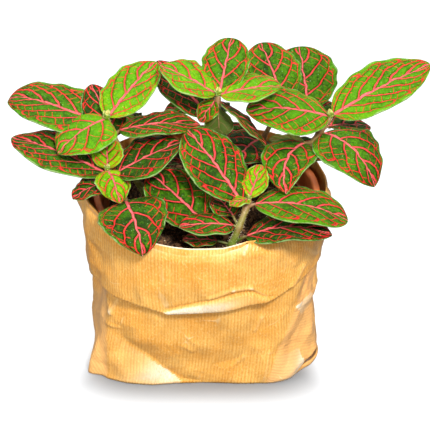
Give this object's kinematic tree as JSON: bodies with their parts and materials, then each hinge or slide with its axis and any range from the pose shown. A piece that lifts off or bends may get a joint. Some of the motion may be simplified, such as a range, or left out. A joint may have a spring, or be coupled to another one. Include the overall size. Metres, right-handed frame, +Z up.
{
  "type": "potted nerve plant",
  "caption": "Bushy fittonia with pink-veined, wavy green leaves in a round nursery pot of soil, standing in a ribbed kraft paper bag with a turned-down cuff.",
  "frame": {"origin": "middle of the bag's flat base, on the surface that it stands on", "axes": "+Z up, -Y towards the front, +X along the widest spread of the leaves"},
  "size_m": [0.2287, 0.1465, 0.1593],
  "materials": {
    "paper_bag": "satin",
    "nursery_pot": "satin",
    "potting_soil": "matte",
    "dark_leaf": "satin",
    "fresh_leaf": "satin"
  },
  "bodies": {
    "root": {"paper_bag": "paper_bag", "nursery_pot": "nursery_pot", "potting_soil": "potting_soil", "leafy_stem_left_tall": "dark_leaf", "leafy_stem_left_low": "dark_leaf", "leafy_stem_centre": "fresh_leaf", "leafy_stem_right": "fresh_leaf", "leafy_stem_front": "dark_leaf", "leafy_stem_back_right": "dark_leaf", "leafy_stem_inner": "dark_leaf", "leafy_stem_rear_left": "dark_leaf", "leafy_stem_rear_centre": "dark_leaf", "leafy_stem_rear_right": "dark_leaf"}
  },
  "joints": []
}
